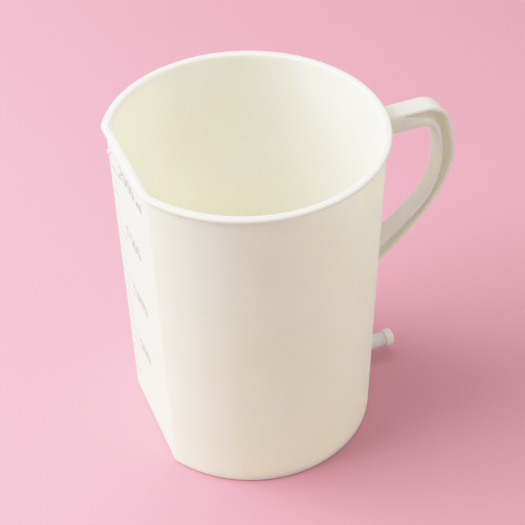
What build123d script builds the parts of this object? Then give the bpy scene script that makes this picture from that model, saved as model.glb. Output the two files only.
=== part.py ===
from build123d import *
import os
from itertools import count, takewhile
from math import acos, cos, hypot, pi, radians, sqrt, tan

# Two-litre feeding and measuring jug, moulded in one polypropylene shot: an open-topped
# drafted cup with one flat graduated side, a bead round the rim, a strap handle of
# I-section opposite the flat, and a hose outlet low on the wall under the handle.
# Each node is one feature of the moulding, and neighbours meet face to face.
# Millimetres, +Z up. Origin: centre of the foot on the axis of the round wall.
# +X points to the handle and the outlet, -X to the flat graduated panel.

# ---- cup -------------------------------------------------------------------------------
OVERALL_HEIGHT = 182.0
RIM_RADIUS = 70.0            # outside of the bead, from the axis
RIM_HEIGHT = 2.6
RIM_OVERHANG = 2.2           # bead stands this far out past the wall
RIM_EDGE_RADIUS = 1.1
RIM_CORNER_RADIUS = 6.0      # bead, in plan, where the round meets the flat
WALL_THICKNESS = 1.8
WALL_DRAFT = 0.74            # degrees, the round wall narrows downwards
FLAT_DEPTH = 6.9             # the flat is cut this deep into the round, right under the bead
PANEL_DRAFT = 1.15           # degrees
CORNER_RADIUS = 3.5          # upright edges between the round wall and the flat
CORNER_LAND = 0.6            # flat strip left beside each rounded upright edge
COVE_RADIUS = 3.0            # inside, between wall and floor
FLOOR_THICKNESS = 2.4
FOOT_HEIGHT = 2.0
FOOT_WIDTH = 4.2
FOOT_EDGE_RADIUS = 1.5

# ---- handle ----------------------------------------------------------------------------
HANDLE_DROP = 11.0           # top of the arm below the rim
HANDLE_REACH = 46.4          # outermost point, from the wall under the bead
HANDLE_HEIGHT = 96.0         # top of the arm down to the lower arm's root
HANDLE_WIDTH = 11.0
HANDLE_EDGE_RADIUS = 0.9
ARM_DEPTH = 11.0             # height of the top arm
OUTER_FLANGE = 2.2
WEB_THICKNESS = 3.2
POCKET_START = 0.33          # tip of the side recess, as a share of the reach
ROOT_BEYOND_TIP = 1.0        # the solid root block ends this far past the recess tip
# Outline of the strap: shares of the reach outwards and of the height downwards.
OUTER_OUTLINE = ((0.593, 0.0), (0.905, 0.109), (1.0, 0.323), (0.853, 0.581), (0.502, 0.808), (-0.13, 1.104))
INNER_OUTLINE = ((0.763, 0.200), (0.810, 0.385), (0.718, 0.569), (0.377, 0.756), (-0.13, 0.969))
# Thickness of the inner flange at the top arm and at each point of INNER_OUTLINE.
INNER_FLANGE = (5.2, 2.4, 1.7, 1.4, 1.3, 1.3)

# ---- hose outlet -----------------------------------------------------------------------
OUTLET_HEIGHT = 10.5         # axis above the surface that the jug stands on
OUTLET_BORE = 5.0
SHANK_DIAMETER = 8.2
LIP_DIAMETER = 10.2
LIP_LENGTH = 4.8
LIP_EDGE_RADIUS = 0.7
OUTLET_PROJECTION = 21.4     # end of the lip, from the wall at the outlet's height

# ---- graduations on the flat panel -----------------------------------------------------
LITRE = 1.0e6                # cubic millimetres
MARK_STEP = 0.1              # litres from one mark to the next
FIRST_MARK = 2               # in steps: 200 ml
CLEAR_OF_RIM = 20.0          # no level mark nearer to the rim than this
MARKS_PER_NUMERAL = 5        # a long mark and a number at every 500 ml
MARK_RELIEF = 0.35
MARK_WIDTH = 0.9
LONG_MARK = 15.0
SHORT_MARK = 8.0
NUMERAL_HEIGHT = 7.0
NUMERAL_STROKE = 1.0
NUMERAL_PITCH = 5.8
NUMERAL_RISE = 2.6           # foot of the numbers above the middle of their mark
NUMERAL_START = 15.5         # left end of the numbers, from the panel's left edge
UNIT_GAP = 2.6               # between the top number and the unit
BRIM_MARK_DROP = 14.0        # the mark at the flat's edge, below the rim
BRIM_MARK_LENGTH = 3.0
BRIM_MARK_HEIGHT = 1.8
BRIM_MARK_RELIEF = 1.8

# ---- worked out from the above ---------------------------------------------------------
WALL_TOP = OVERALL_HEIGHT - RIM_HEIGHT
WALL_TOP_RADIUS = RIM_RADIUS - RIM_OVERHANG
PANEL_DISTANCE = WALL_TOP_RADIUS - FLAT_DEPTH
FLOOR_TOP = FOOT_HEIGHT + FLOOR_THICKNESS
HANDLE_TOP = OVERALL_HEIGHT - HANDLE_DROP
PANEL_HALF_CHORD = sqrt(WALL_TOP_RADIUS**2 - PANEL_DISTANCE**2)
CORNER_SETBACK = CORNER_RADIUS * tan(acos(PANEL_DISTANCE / WALL_TOP_RADIUS) / 2)
PANEL_HALF_WIDTH = PANEL_HALF_CHORD - CORNER_SETBACK - CORNER_LAND
BEYOND = 4 * RIM_RADIUS      # past everything, for cutting tools


def wall_radius(height):
    """Outer radius of the round wall at a height."""
    return WALL_TOP_RADIUS - (WALL_TOP - height) * tan(radians(WALL_DRAFT))


def panel_distance(height):
    """Distance of the flat outer face from the axis at a height."""
    return PANEL_DISTANCE - (WALL_TOP - height) * tan(radians(PANEL_DRAFT))


def plate(outline, width):
    """Solid of an XZ outline, with its width shared equally to both sides of the middle plane."""
    return extrude(Pos(0, width / 2, 0) * (Plane.XZ * make_face(outline)), width)


def cup_form(inset, low, high):
    """Solid of the cup's drafted outline, moved in by inset, between two heights."""
    cone = Pos(0, 0, (low + high) / 2) * Cone(wall_radius(low) - inset, wall_radius(high) - inset, high - low)
    beyond_flat = Polyline(
        (-panel_distance(low) + inset, low),
        (-panel_distance(high) + inset, high),
        (-BEYOND, high),
        (-BEYOND, low),
        close=True,
    )
    form = cone - plate(beyond_flat, BEYOND)
    upright = [edge for edge in form.edges() if edge.bounding_box().size.Z > 0.9 * (high - low)]
    corners = [edge for edge in upright if edge.center().X < 0]
    return fillet(corners, CORNER_RADIUS)


def side_slab():
    """The part of space that holds the flat panel: beside the flat, between its rounded edges."""
    return Pos(-BEYOND / 2, 0, 0) * Box(BEYOND, 2 * PANEL_HALF_WIDTH, 4 * OVERALL_HEIGHT)


def outlet_bore():
    """Passage from the cavity through the wall and out of the lip."""
    return Pos(RIM_RADIUS, 0, OUTLET_HEIGHT) * Rot(0, 90, 0) * Cylinder(OUTLET_BORE / 2, RIM_RADIUS)


# ---- cup features ----------------------------------------------------------------------
def cup_nodes():
    """Foot ring, floor, round wall, flat panel and rim bead."""
    cavity = cup_form(WALL_THICKNESS, FLOOR_TOP, OVERALL_HEIGHT)
    bottom_loop = [edge for edge in cavity.edges() if edge.bounding_box().max.Z < FLOOR_TOP + 0.01]
    cavity = fillet(bottom_loop, COVE_RADIUS)

    foot = cup_form(0, 0, FOOT_HEIGHT)
    ground_loop = [edge for edge in foot.edges() if edge.bounding_box().max.Z < 0.01]
    foot_ring = fillet(ground_loop, FOOT_EDGE_RADIUS) - cup_form(FOOT_WIDTH, 0, FOOT_HEIGHT)

    floor = cup_form(WALL_THICKNESS + COVE_RADIUS, FOOT_HEIGHT, FLOOR_TOP)
    shell = cup_form(0, FOOT_HEIGHT, WALL_TOP) - cavity - floor
    scale_panel = shell & side_slab()
    cup_wall = shell - side_slab() - outlet_bore()

    outline = Circle(RIM_RADIUS) - Pos(-PANEL_DISTANCE - RIM_OVERHANG - BEYOND / 2, 0) * Rectangle(BEYOND, BEYOND)
    outline = fillet(outline.vertices().sort_by(Axis.X)[:2], RIM_CORNER_RADIUS)
    bead = Pos(0, 0, WALL_TOP) * extrude(outline, RIM_HEIGHT) - cavity
    rounded = [
        edge
        for edge in bead.edges()
        if edge.bounding_box().size.Z < 0.01 and not is_seated_inner_edge(edge)
    ]
    rim_bead = fillet(rounded, RIM_EDGE_RADIUS)
    return {
        "foot_ring": foot_ring,
        "floor": floor,
        "cup_wall": cup_wall,
        "scale_panel": scale_panel,
        "rim_bead": rim_bead,
    }


def is_seated_inner_edge(edge):
    """Whether an edge is the bead's lower inner one, which lies flush on the wall."""
    point = edge @ 0.5
    middle = RIM_OVERHANG + WALL_THICKNESS / 2
    inside = hypot(point.X, point.Y) < RIM_RADIUS - middle and point.X > -(PANEL_DISTANCE - WALL_THICKNESS / 2)
    return inside and point.Z < WALL_TOP + 0.01


# ---- handle ----------------------------------------------------------------------------
def outline_point(share):
    """A point of the strap's outline, in the XZ plane, from its shares of reach and height."""
    return Vector(WALL_TOP_RADIUS + share[0] * HANDLE_REACH, HANDLE_TOP - share[1] * HANDLE_HEIGHT)


def toward(start, end, distance):
    """The point at a distance from start on the way to end."""
    return start + (end - start).normalized() * distance


def bent_edge(points):
    """Edge that leaves level, bends down in one arc and runs on smoothly to the lower arm's root."""
    bend = TangentArc(points[0], points[1], tangent=(1, 0))
    return bend + Spline(points[1:], tangents=[bend % 1, (points[-1] - points[-2]).normalized()])


def handle_nodes(cup_solid):
    """Upper root, outer flange, inner flange and web of the strap handle."""
    outer = [outline_point(share) for share in OUTER_OUTLINE]
    arm_end = Vector(outer[0].X - ARM_DEPTH / 4, HANDLE_TOP - ARM_DEPTH)
    inner = [arm_end] + [outline_point(share) for share in INNER_OUTLINE]
    outer_edge = bent_edge(outer)
    inner_edge = bent_edge(inner)

    inside_wall = Vector(outer[-1].X, HANDLE_TOP)
    strap = Line(inside_wall, outer[0]) + outer_edge + Line(outer[-1], inner[-1])
    strap = strap + inner_edge + Polyline(inner[0], (inside_wall.X, arm_end.Y), inside_wall)
    blank = plate(strap, HANDLE_WIDTH)
    running = [edge for edge in blank.edges() if edge.bounding_box().size.Y < 0.01]
    grip = [edge for edge in running if edge.center().X > WALL_TOP_RADIUS]
    blank = fillet(grip, HANDLE_EDGE_RADIUS) - cup_solid

    tip = Vector(WALL_TOP_RADIUS + POCKET_START * HANDLE_REACH, HANDLE_TOP - OUTER_FLANGE)
    upper = [toward(start, end, OUTER_FLANGE) for start, end in zip(outer, inner)]
    upper[0] = Vector(outer[0].X, HANDLE_TOP - OUTER_FLANGE)
    lower = [toward(start, end, flange) for start, end, flange in zip(inner, outer, INNER_FLANGE)]
    upper_edge = bent_edge(upper)
    lower_edge = Spline([tip] + lower)
    recess = Line(tip, upper[0]) + upper_edge + Line(upper[-1], lower[-1]) + lower_edge
    frame = blank - plate(recess, 2 * HANDLE_WIDTH)
    root_end = tip.X + ROOT_BEYOND_TIP
    root_side = Pos(root_end - BEYOND / 2, 0, HANDLE_TOP) * Box(BEYOND, BEYOND, 3 * ARM_DEPTH)
    upper_root = frame & root_side
    flanges = (frame - root_side).solids().sort_by(Axis.X)
    web = plate(recess, WEB_THICKNESS) - cup_solid
    return {
        "handle_upper_root": upper_root,
        "handle_inner_flange": flanges[0],
        "handle_outer_flange": flanges[-1],
        "handle_web": web,
    }


# ---- hose outlet -----------------------------------------------------------------------
def outlet_nodes(cup_solid):
    """Shank and retaining lip of the hose outlet, bored through."""
    end = wall_radius(OUTLET_HEIGHT) + OUTLET_PROJECTION
    lip_start = end - LIP_LENGTH
    along = Rot(0, 90, 0)
    shank = Pos(lip_start / 2, 0, OUTLET_HEIGHT) * along * Cylinder(SHANK_DIAMETER / 2, lip_start)
    lip = Pos(end - LIP_LENGTH / 2, 0, OUTLET_HEIGHT) * along * Cylinder(LIP_DIAMETER / 2, LIP_LENGTH)
    lip = fillet(lip.edges().filter_by(GeomType.CIRCLE), LIP_EDGE_RADIUS)
    return {
        "outlet_shank": shank - cup_solid - outlet_bore(),
        "outlet_lip": lip - outlet_bore(),
    }


# ---- graduations -----------------------------------------------------------------------
def cavity_area(height):
    """Level area of the cavity at a height: a circle less the segment beyond the flat."""
    radius = wall_radius(height) - WALL_THICKNESS
    flat = panel_distance(height) - WALL_THICKNESS
    return pi * radius**2 - radius**2 * acos(flat / radius) + flat * sqrt(radius**2 - flat**2)


def level_of(litres):
    """Height at which the cavity holds a volume, found in thin slices from the floor."""
    slice_height = 0.05
    height = FLOOR_TOP
    held = 0.0
    while held < litres * LITRE:
        held += cavity_area(height) * slice_height
        height += slice_height
    return height


def panel_plane():
    """Plane on the flat outer face: x to the right, y up the face, z outwards."""
    lean = radians(PANEL_DRAFT)
    return Plane(
        origin=(-panel_distance(0), 0, 0),
        x_dir=(0, -1, 0),
        z_dir=(-cos(lean), 0, -tan(lean) * cos(lean)),
    )


def up_the_face(height):
    """Distance up the leaning face to a height."""
    return height / cos(radians(PANEL_DRAFT))


def bar(left, middle, length, width):
    """Flat outline of a level mark from its left end, with rounded right end."""
    body = Pos(left + length / 2, middle) * Rectangle(length, width)
    return body + Pos(left + length, middle) * Circle(width / 2)


def zero():
    """Middle line of a 0: two half rounds and two straight sides."""
    half = NUMERAL_HEIGHT / 2
    round_radius = (NUMERAL_PITCH - 2.2 * NUMERAL_STROKE) / 2
    rise = half - round_radius
    top = CenterArc((round_radius, half + rise), round_radius, 0, 180)
    bottom = CenterArc((round_radius, half - rise), round_radius, 180, 180)
    return top + Line(top @ 1, bottom @ 0) + bottom + Line(bottom @ 1, top @ 0)


def one():
    """Middle line of a 1: a stem and its flag."""
    stem = (NUMERAL_PITCH - 2.2 * NUMERAL_STROKE) / 2
    flag = 0.24 * NUMERAL_HEIGHT
    return Polyline((stem - flag, NUMERAL_HEIGHT - flag), (stem, NUMERAL_HEIGHT), (stem, 0))


def two():
    """Middle line of a 2: a round head, a slanted neck and a level foot."""
    radius = (NUMERAL_PITCH - 2.2 * NUMERAL_STROKE) / 2
    head = CenterArc((radius, NUMERAL_HEIGHT - radius), radius, 170, -205)
    return head + Polyline(head @ 1, (0, 0), (2 * radius, 0))


def three():
    """Middle line of a 3: two round bellies that meet at its middle."""
    radius = NUMERAL_HEIGHT / 4
    upper = CenterArc((radius, 3 * radius), radius, 150, -240)
    lower = CenterArc((radius, radius), radius, 90, -240)
    return upper + lower


def five():
    """Middle line of a 5: a level top, a short side and a round belly."""
    radius = 0.31 * NUMERAL_HEIGHT
    shoulder = 2 * radius - 0.02 * NUMERAL_HEIGHT
    belly = CenterArc((radius * 0.9, radius), radius, 120, -265)
    return Polyline((2 * radius * 0.9, NUMERAL_HEIGHT), (0, NUMERAL_HEIGHT), (0, shoulder), belly @ 0) + belly


STROKES = {"0": zero, "1": one, "2": two, "3": three, "5": five}


def lettered(text, left, foot):
    """Flat outlines of a number whose first digit starts at left."""
    faces = []
    for place, digit in enumerate(text):
        line = STROKES[digit]()
        faces += [Pos(left + place * NUMERAL_PITCH, foot) * face for face in trace(line, NUMERAL_STROKE).faces()]
    return faces


def unit_letters(left, foot):
    """Flat outlines of the unit, ml, with an arched m and a plain stem."""
    arch = 0.17 * NUMERAL_HEIGHT
    shoulder = 0.55 * NUMERAL_HEIGHT
    first = CenterArc((arch, shoulder - arch), arch, 180, -180)
    second = CenterArc((3 * arch, shoulder - arch), arch, 180, -180)
    letter_m = Line((0, 0), first @ 0) + first + Line(first @ 1, (2 * arch, 0)) + second + Line(second @ 1, (4 * arch, 0))
    letter_l = Line((0, 0), (0, NUMERAL_HEIGHT))
    gap = 4 * arch + 2 * NUMERAL_STROKE
    faces = [Pos(left, foot) * face for face in trace(letter_m, NUMERAL_STROKE).faces()]
    return faces + [Pos(left + gap, foot) * face for face in trace(letter_l, NUMERAL_STROKE).faces()]


def raised(faces, relief):
    """Solids standing out of the flat panel by relief, touching ones made one."""
    plane = panel_plane()
    solids = [extrude(plane * face, relief) for face in faces]
    joined = solids[0]
    for solid in solids[1:]:
        joined = joined + solid
    return joined


def scale_nodes():
    """Long marks, short marks, numbers, unit and the edge mark near the rim."""
    left_edge = -PANEL_HALF_WIDTH
    long_marks = []
    short_marks = []
    numerals = []
    highest = OVERALL_HEIGHT - CLEAR_OF_RIM
    for step in takewhile(lambda step: level_of(step * MARK_STEP) < highest, count(FIRST_MARK)):
        middle = up_the_face(level_of(step * MARK_STEP))
        if step % MARKS_PER_NUMERAL:
            short_marks.append(bar(left_edge, middle, SHORT_MARK, MARK_WIDTH))
            continue
        long_marks.append(bar(left_edge, middle, LONG_MARK, MARK_WIDTH))
        numeral_foot = middle + NUMERAL_RISE
        numerals += lettered(str(step * 100), left_edge + NUMERAL_START, numeral_foot)
    unit_left = left_edge + NUMERAL_START + 4 * NUMERAL_PITCH + UNIT_GAP
    brim_middle = up_the_face(OVERALL_HEIGHT - BRIM_MARK_DROP)
    brim_outline = Pos(left_edge + BRIM_MARK_LENGTH / 2, brim_middle) * Rectangle(BRIM_MARK_LENGTH, BRIM_MARK_HEIGHT)
    return {
        "scale_long_marks": raised(long_marks, MARK_RELIEF),
        "scale_short_marks": raised(short_marks, MARK_RELIEF),
        "scale_numerals": raised(numerals, MARK_RELIEF),
        "scale_unit": raised(unit_letters(unit_left, numeral_foot), MARK_RELIEF),
        "brim_mark": raised([brim_outline], BRIM_MARK_RELIEF),
    }


def main():
    """Build every node and write one STEP file for each."""
    cup_solid = cup_form(0, 0, WALL_TOP)
    nodes = cup_nodes() | handle_nodes(cup_solid) | outlet_nodes(cup_solid) | scale_nodes()
    os.makedirs("parts", exist_ok=True)
    for name, shape in nodes.items():
        export_step(shape, f"parts/{name}.step")
        print(f"{name:22s} {len(shape.solids()):3d} solids {shape.volume:10.1f} mm3")


main()
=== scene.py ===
"""Visual model of a two-litre feeding and measuring jug, one moulding in ivory polypropylene.

Every length is in metres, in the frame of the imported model: +Z up, the jug stands on Z = 0 with
its round wall on the Z axis, +X points to the handle and the hose outlet, -X to the flat panel.
"""

import logging
import math
from collections.abc import Callable, Iterable, Sequence
from dataclasses import dataclass, field
from enum import Enum

import bmesh
import bpy
from mathutils import Matrix, Vector


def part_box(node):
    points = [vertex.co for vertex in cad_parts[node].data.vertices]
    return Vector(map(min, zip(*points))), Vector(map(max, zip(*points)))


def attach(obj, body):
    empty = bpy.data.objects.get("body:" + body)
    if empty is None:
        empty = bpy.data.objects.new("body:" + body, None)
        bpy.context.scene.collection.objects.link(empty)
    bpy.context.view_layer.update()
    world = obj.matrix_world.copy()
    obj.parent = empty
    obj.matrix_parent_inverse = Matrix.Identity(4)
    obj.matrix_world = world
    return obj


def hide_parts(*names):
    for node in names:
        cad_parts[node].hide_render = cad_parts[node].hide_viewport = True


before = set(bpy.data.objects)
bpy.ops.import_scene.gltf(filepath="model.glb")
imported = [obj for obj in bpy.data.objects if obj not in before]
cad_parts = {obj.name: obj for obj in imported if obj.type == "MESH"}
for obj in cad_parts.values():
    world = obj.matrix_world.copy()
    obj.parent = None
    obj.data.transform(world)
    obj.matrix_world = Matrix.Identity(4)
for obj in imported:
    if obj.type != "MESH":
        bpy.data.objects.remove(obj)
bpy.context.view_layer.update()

LOG = logging.getLogger("feeding_jug")
MM = 0.001
BODY = "root"

Colour = tuple[float, float, float, float]
Point2 = tuple[float, float]
Number = "Term | float"
Box = tuple[Vector, Vector]


# ---- node trees ------------------------------------------------------------------------
class NodeSheet:
    """A node tree with one way to add a node and one way to write maths."""

    def __init__(self, tree: bpy.types.NodeTree) -> None:
        """Take over a tree.

        Args:
            tree: The shader or geometry tree that the nodes go in.
        """
        self.tree = tree

    def add(
        self, kind: str, settings: dict[str, object], inputs: dict[str | int, object]
    ) -> bpy.types.Node:
        """Add a node.

        Args:
            kind: The node's type.
            settings: Properties that are set first; "stops" fills a colour ramp.
            inputs: A value, a Term or a socket for each input, by identifier, name or place.

        Returns:
            The new node.
        """
        node = self.tree.nodes.new(kind)
        for name, value in settings.items():
            if name == "stops":
                self._fill_ramp(node.color_ramp, value)
            else:
                setattr(node, name, value)
        for key, value in inputs.items():
            socket = self._input(node, key)
            source = value.socket if isinstance(value, Term) else value
            if isinstance(source, bpy.types.NodeSocket):
                self.tree.links.new(source, socket)
            else:
                socket.default_value = source
        return node

    @staticmethod
    def _fill_ramp(ramp: bpy.types.ColorRamp, stops: Sequence[tuple[float, Colour]]) -> None:
        """Give a colour ramp its stops.

        Args:
            ramp: The ramp to fill.
            stops: Position and colour of each stop, in order.
        """
        while len(ramp.elements) < len(stops):
            ramp.elements.new(1.0)
        for element, (position, colour) in zip(ramp.elements, stops):
            element.position = position
            element.color = colour

    @staticmethod
    def _input(node: bpy.types.Node, key: str | int) -> bpy.types.NodeSocket:
        """Find an input socket.

        Args:
            node: The node to look in.
            key: Identifier, name or place of the socket.

        Returns:
            The socket.
        """
        if isinstance(key, int):
            return node.inputs[key]
        for socket in node.inputs:
            if socket.identifier == key:
                return socket
        return node.inputs[key]

    def term(self, node: bpy.types.Node, output: str | int = 0) -> "Term":
        """Wrap an output of a node, so that it can stand in a formula.

        Args:
            node: The node.
            output: Name or place of the output.

        Returns:
            The wrapped socket.
        """
        return Term(self, node.outputs[output])

    def maths(self, operation: str, *values: Number) -> "Term":
        """Add a Math node.

        Args:
            operation: What the node does.
            values: Its inputs, in order.

        Returns:
            The node's result.
        """
        node = self.add("ShaderNodeMath", {"operation": operation}, dict(enumerate(values)))
        return self.term(node)

    def vector(self, x: Number, y: Number, z: Number) -> "Term":
        """Join three values into a vector.

        Args:
            x: First value.
            y: Second value.
            z: Third value.

        Returns:
            The vector.
        """
        return self.term(self.add("ShaderNodeCombineXYZ", {}, {"X": x, "Y": y, "Z": z}))

    def ease(self, value: Number, low: float, high: float) -> "Term":
        """Rise smoothly from 0 at low to 1 at high.

        Args:
            value: What is eased.
            low: Where the rise starts.
            high: Where the rise ends.

        Returns:
            The eased value, from 0 to 1.
        """
        settings = {"interpolation_type": "SMOOTHSTEP"}
        inputs = {"Value": value, "From Min": low, "From Max": high}
        return self.term(self.add("ShaderNodeMapRange", settings, inputs))

    def mix(self, factor: Number, first: "Colour | Term", second: "Colour | Term") -> "Term":
        """Mix two colours.

        Args:
            factor: 0 gives the first colour and 1 the second.
            first: A colour.
            second: Another colour.

        Returns:
            The mixed colour.
        """
        inputs = {"Factor_Float": factor, "A_Color": first, "B_Color": second}
        node = self.add("ShaderNodeMix", {"data_type": "RGBA"}, inputs)
        mixed = (socket for socket in node.outputs if socket.identifier == "Result_Color")
        return Term(self, next(mixed))

    def noise(
        self, place: "Term", period: float, detail: float = 2.0, roughness: float = 0.5
    ) -> "Term":
        """Add a noise pattern.

        Args:
            place: Coordinates that the noise is read at.
            period: Length of one lump of the pattern.
            detail: Number of finer layers.
            roughness: Strength of the finer layers.

        Returns:
            The noise, about 0.5 on average.
        """
        inputs = {
            "Vector": place,
            "Scale": 1.0 / period,
            "Detail": detail,
            "Roughness": roughness,
        }
        return self.term(self.add("ShaderNodeTexNoise", {}, inputs))


@dataclass(frozen=True)
class Term:
    """A node's output that can stand in a written formula.

    Attributes:
        sheet: The tree that the socket is in.
        socket: The output socket.
    """

    sheet: NodeSheet
    socket: bpy.types.NodeSocket

    def __add__(self, other: Number) -> "Term":
        """Sum of this and another value."""
        return self.sheet.maths("ADD", self, other)

    __radd__ = __add__

    def __sub__(self, other: Number) -> "Term":
        """This less another value."""
        return self.sheet.maths("SUBTRACT", self, other)

    def __rsub__(self, other: float) -> "Term":
        """Another value less this."""
        return self.sheet.maths("SUBTRACT", other, self)

    def __mul__(self, other: Number) -> "Term":
        """Product of this and another value."""
        return self.sheet.maths("MULTIPLY", self, other)

    __rmul__ = __mul__

    def __truediv__(self, other: Number) -> "Term":
        """This divided by another value."""
        return self.sheet.maths("DIVIDE", self, other)

    def __neg__(self) -> "Term":
        """This with its sign changed."""
        return self.sheet.maths("MULTIPLY", self, -1.0)

    def __abs__(self) -> "Term":
        """Size of this without its sign."""
        return self.sheet.maths("ABSOLUTE", self)

    def __pow__(self, power: Number) -> "Term":
        """This raised to a power."""
        return self.sheet.maths("POWER", self, power)

    def below(self, limit: Number) -> "Term":
        """1 where this is less than a limit, otherwise 0."""
        return self.sheet.maths("LESS_THAN", self, limit)

    def clamped(self) -> "Term":
        """This held between 0 and 1."""
        return self.sheet.maths("MINIMUM", self.sheet.maths("MAXIMUM", self, 0.0), 1.0)

    def at_least(self, limit: Number) -> "Term":
        """The larger of this and a limit."""
        return self.sheet.maths("MAXIMUM", self, limit)


class GeometryRecipe(NodeSheet):
    """A geometry tree with named inputs, run on a mesh to make a plain one."""

    def __init__(self, name: str) -> None:
        """Start a tree that takes and gives geometry.

        Args:
            name: Name of the tree.
        """
        super().__init__(bpy.data.node_groups.new(name, "GeometryNodeTree"))
        for way in ("INPUT", "OUTPUT"):
            self.tree.interface.new_socket("Geometry", in_out=way, socket_type="NodeSocketGeometry")
        self.source = self.tree.nodes.new("NodeGroupInput")
        self.result = self.tree.nodes.new("NodeGroupOutput")
        self.sizes: dict[str, object] = {}

    @property
    def geometry(self) -> "Term":
        """The mesh that the tree is run on."""
        return Term(self, self.source.outputs["Geometry"])

    def size(self, name: str, value: float | int | bpy.types.Material) -> "Term":
        """Add a named input.

        Args:
            name: Name of the input.
            value: The value that it is given when the tree is run.

        Returns:
            The input, for use in formulas.
        """
        kinds = {
            float: "NodeSocketFloat",
            int: "NodeSocketInt",
            bpy.types.Material: "NodeSocketMaterial",
        }
        self.tree.interface.new_socket(name, in_out="INPUT", socket_type=kinds[type(value)])
        self.sizes[name] = value
        return Term(self, self.source.outputs[name])

    def named(self, name: str) -> "Term":
        """Value of a named attribute on the geometry."""
        node = self.add("GeometryNodeInputNamedAttribute", {"data_type": "FLOAT"}, {"Name": name})
        return Term(self, next(socket for socket in node.outputs if socket.enabled))

    def finish(self, geometry: "Term", material: "Term") -> None:
        """Close the tree: realise instances, set the material and give the result.

        Args:
            geometry: What the tree has made.
            material: The finish of all its faces.
        """
        real = self.add("GeometryNodeRealizeInstances", {}, {"Geometry": geometry})
        smooth = self.add("GeometryNodeSetShadeSmooth", {}, {"Geometry": real.outputs[0]})
        inputs = {"Geometry": smooth.outputs[0], "Material": material}
        dressed = self.add("GeometryNodeSetMaterial", {}, inputs)
        self.tree.links.new(dressed.outputs[0], self.result.inputs[0])

    def run(self, name: str, mesh: bpy.types.Mesh) -> bpy.types.Object:
        """Run the tree on a mesh.

        Args:
            name: Name of the piece that comes out.
            mesh: The mesh that the tree starts from.

        Returns:
            An object with a plain mesh and no modifier.
        """
        piece = bpy.data.objects.new(name, mesh)
        bpy.context.scene.collection.objects.link(piece)
        modifier = piece.modifiers.new(self.tree.name, "NODES")
        modifier.node_group = self.tree
        for item in self.tree.interface.items_tree:
            if item.in_out == "INPUT" and item.name in self.sizes:
                modifier[item.identifier] = self.sizes[item.name]
        evaluated = piece.evaluated_get(bpy.context.evaluated_depsgraph_get())
        made = bpy.data.meshes.new_from_object(evaluated)
        piece.modifiers.remove(modifier)
        piece.data = made
        made.name = name
        return piece


# ---- meshes ----------------------------------------------------------------------------
def mesh_of(
    name: str,
    points: Sequence[Sequence[float]],
    edges: Sequence[Sequence[int]],
    faces: Sequence[Sequence[int]],
) -> bpy.types.Mesh:
    """Make a mesh from plain lists.

    Args:
        name: Name of the mesh.
        points: Its corners.
        edges: Pairs of corner numbers, for a mesh with no faces.
        faces: Loops of corner numbers.

    Returns:
        The mesh, smooth shaded.
    """
    mesh = bpy.data.meshes.new(name)
    mesh.from_pydata([tuple(point) for point in points], edges, faces)
    mesh.update()
    for polygon in mesh.polygons:
        polygon.use_smooth = True
    return mesh


def turned_outwards(mesh: bpy.types.Mesh) -> bpy.types.Mesh:
    """Turn the faces of closed shells outwards.

    Args:
        mesh: A mesh of one or more closed shells.

    Returns:
        The same mesh.
    """
    work = bmesh.new()
    work.from_mesh(mesh)
    bmesh.ops.recalc_face_normals(work, faces=work.faces)
    if work.calc_volume(signed=True) < 0:
        bmesh.ops.reverse_faces(work, faces=work.faces)
    work.to_mesh(mesh)
    work.free()
    return mesh


def lofted(
    name: str, rings: Sequence[Sequence[Vector]], closed_path: bool = False
) -> bpy.types.Mesh:
    """Skin a row of rings that all have the same number of points.

    Args:
        name: Name of the mesh.
        rings: The rings, in order.
        closed_path: Whether the last ring joins the first; otherwise both ends are capped.

    Returns:
        The closed mesh, faces outwards.
    """
    count = len(rings[0])
    points = [point for ring in rings for point in ring]
    faces = []
    for row in range(len(rings) if closed_path else len(rings) - 1):
        here = row * count
        there = (row + 1) % len(rings) * count
        for column in range(count):
            beside = (column + 1) % count
            faces.append((here + column, here + beside, there + beside, there + column))
    if not closed_path:
        faces.append(tuple(range(count)))
        faces.append(tuple(reversed(range(len(points) - count, len(points)))))
    return turned_outwards(mesh_of(name, points, (), faces))


def arc(centre: Point2, radius: float, start: float, end: float, steps: int) -> list[Point2]:
    """Points on an arc.

    Args:
        centre: Its centre.
        radius: Its radius.
        start: Angle of the first point, in degrees.
        end: Angle of the last point, in degrees.
        steps: Number of straight runs.

    Returns:
        The points, both ends included.
    """
    angles = [math.radians(start + (end - start) * step / steps) for step in range(steps + 1)]
    across, up = centre
    return [(across + radius * math.cos(angle), up + radius * math.sin(angle)) for angle in angles]


def eased(value: float) -> float:
    """Rise smoothly from 0 to 1 as value goes from 0 to 1."""
    held = min(1.0, max(0.0, value))
    return held * held * (3 - 2 * held)


def placed_piece(
    name: str, mesh: bpy.types.Mesh, material: bpy.types.Material
) -> bpy.types.Object:
    """Put a finished mesh in the scene at the origin.

    Args:
        name: Name of the piece.
        mesh: Its mesh, already in place.
        material: Its finish.

    Returns:
        The object.
    """
    mesh.materials.clear()
    mesh.materials.append(material)
    piece = bpy.data.objects.new(name, mesh)
    bpy.context.scene.collection.objects.link(piece)
    return piece


def join_jug(piece: bpy.types.Object, *nodes: str) -> bpy.types.Object:
    """Make a piece part of the jug and let it stand for CAD nodes.

    Args:
        piece: The piece.
        nodes: The CAD nodes that it stands for.

    Returns:
        The same piece.
    """
    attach(piece, BODY)
    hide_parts(*nodes)
    faces = len(piece.data.polygons)
    LOG.info("%s: %d faces, stands for %s", piece.name, faces, ", ".join(nodes))
    return piece


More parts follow.
